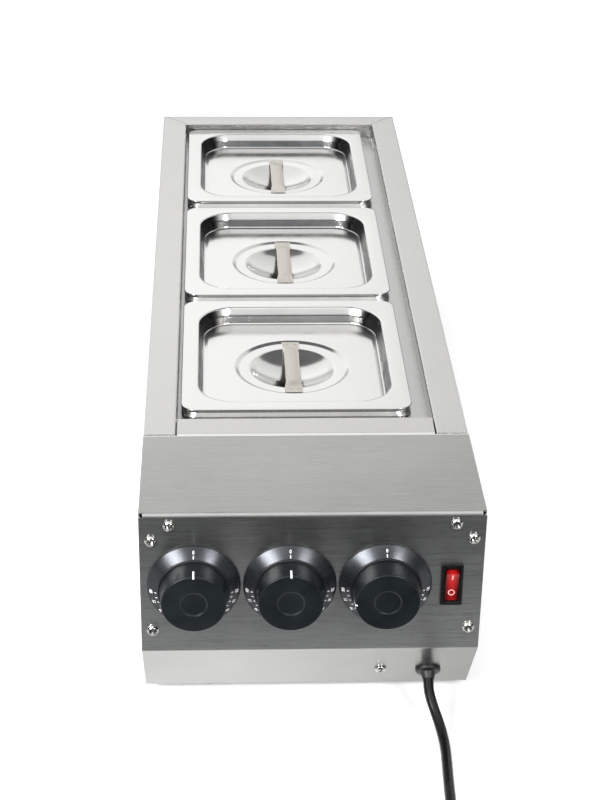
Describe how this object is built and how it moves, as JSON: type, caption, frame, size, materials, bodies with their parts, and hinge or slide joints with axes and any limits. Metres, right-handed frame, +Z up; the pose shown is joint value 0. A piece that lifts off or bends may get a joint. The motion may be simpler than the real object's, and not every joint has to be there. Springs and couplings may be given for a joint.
{
  "type": "chocolate tempering machine",
  "caption": "Long countertop chocolate melting and tempering warmer: lidded steel food pans in a row, a front control box with dials and a red rocker switch, and a mains lead.",
  "frame": {"origin": "on the floor plane, under the middle of the machine with its dial knobs, the mains lead left out", "axes": "+Z up, +Y from the control box towards the rear panel, +X to the right seen from the front"},
  "size_m": [0.22, 0.9567, 0.169],
  "materials": {
    "brushed_sheet": "brushed along the sheet",
    "control_sheet": "brushed across the sheet",
    "galvanised_sheet": "galvanised",
    "polished_steel": "polished, pressed sheet",
    "strap_steel": "matte, lightly tinted by welding",
    "screw_steel": "bright plated",
    "tray_aluminium": "mill finish",
    "thermostat_metal": "plated",
    "sensor_brass": "plain",
    "knob_black": "satin moulded",
    "dial_black": "metallic sheen, white marks",
    "switch_red": "translucent red",
    "black_rubber": "matte",
    "silicone_pad": "silicone",
    "mineral_wool": "loose wool",
    "terminal_plastic": "moulded",
    "cable_pvc": "satin sheath",
    "plug_pvc": "moulded",
    "tie_fabric": "hook and loop"
  },
  "bodies": {
    "chassis": {"left_side_panel": "brushed_sheet", "right_side_panel": "brushed_sheet", "rear_panel": "brushed_sheet", "front_cross_rail": "brushed_sheet", "control_cover": "control_sheet", "deck_plate": "brushed_sheet", "base_plate": "galvanised_sheet", "partition_wall": "galvanised_sheet", "insulation_blanket": "mineral_wool", "terminal_block": "terminal_plastic", "wiring_loom": "cable_pvc", "panel_screw_1": "screw_steel", "panel_screw_2": "screw_steel", "panel_screw_3": "screw_steel", "panel_screw_4": "screw_steel", "panel_screw_5": "screw_steel", "panel_screw_6": "screw_steel", "earth_screw": "screw_steel", "cable_gland": "black_rubber", "thermostat_1": "thermostat_metal", "dial_skirt_1": "dial_black", "sensor_1": "sensor_brass", "heating_tray_1": "tray_aluminium", "heater_pad_1": "silicone_pad", "thermostat_2": "thermostat_metal", "dial_skirt_2": "dial_black", "sensor_2": "sensor_brass", "heating_tray_2": "tray_aluminium", "heater_pad_2": "silicone_pad", "thermostat_3": "thermostat_metal", "dial_skirt_3": "dial_black", "sensor_3": "sensor_brass", "heating_tray_3": "tray_aluminium", "heater_pad_3": "silicone_pad", "switch_housing": "knob_black", "foot_1": "black_rubber", "foot_2": "black_rubber", "foot_3": "black_rubber", "foot_4": "black_rubber", "power_cord": "cable_pvc", "cord_coil": "cable_pvc", "cord_tie": "tie_fabric", "plug": "plug_pvc"},
    "dial_1": {"control_knob_1": "knob_black", "thermostat_shaft_1": "sensor_brass"},
    "pan_body_1": {"pan_1": "polished_steel"},
    "lid_body_1": {"lid_1": "polished_steel", "lid_strap_1": "strap_steel"},
    "dial_2": {"control_knob_2": "knob_black", "thermostat_shaft_2": "sensor_brass"},
    "pan_body_2": {"pan_2": "polished_steel"},
    "lid_body_2": {"lid_2": "polished_steel", "lid_strap_2": "strap_steel"},
    "dial_3": {"control_knob_3": "knob_black", "thermostat_shaft_3": "sensor_brass"},
    "pan_body_3": {"pan_3": "polished_steel"},
    "lid_body_3": {"lid_3": "polished_steel", "lid_strap_3": "strap_steel"},
    "rocker": {"switch_rocker": "switch_red"}
  },
  "joints": [
    {"name": "dial_1_turn", "type": "hinge", "parent": "chassis", "child": "dial_1", "pos_m": [-0.0756, -0.35025, 0.1162], "axis": [0, 1, 0], "range_deg": [0, 270]},
    {"name": "dial_2_turn", "type": "hinge", "parent": "chassis", "child": "dial_2", "pos_m": [-0.0142, -0.35025, 0.1162], "axis": [0, 1, 0], "range_deg": [0, 270]},
    {"name": "dial_3_turn", "type": "hinge", "parent": "chassis", "child": "dial_3", "pos_m": [0.0472, -0.35025, 0.1162], "axis": [0, 1, 0], "range_deg": [-265, 5]},
    {"name": "rocker_tip", "type": "hinge", "parent": "chassis", "child": "rocker", "pos_m": [0.09, -0.34875, 0.115], "axis": [-1, 0, 0], "range_deg": [0, 16]},
    {"name": "pan_1_lift", "type": "slide", "parent": "chassis", "child": "pan_body_1", "axis": [0, 0, 1], "range_m": [0, 0.14]},
    {"name": "lid_1_lift", "type": "slide", "parent": "pan_body_1", "child": "lid_body_1", "axis": [0, 0, 1], "range_m": [0, 0.15]},
    {"name": "pan_2_lift", "type": "slide", "parent": "chassis", "child": "pan_body_2", "axis": [0, 0, 1], "range_m": [0, 0.14]},
    {"name": "lid_2_lift", "type": "slide", "parent": "pan_body_2", "child": "lid_body_2", "axis": [0, 0, 1], "range_m": [0, 0.15]},
    {"name": "pan_3_lift", "type": "slide", "parent": "chassis", "child": "pan_body_3", "axis": [0, 0, 1], "range_m": [0, 0.14]},
    {"name": "lid_3_lift", "type": "slide", "parent": "pan_body_3", "child": "lid_body_3", "axis": [0, 0, 1], "range_m": [0, 0.15]}
  ]
}
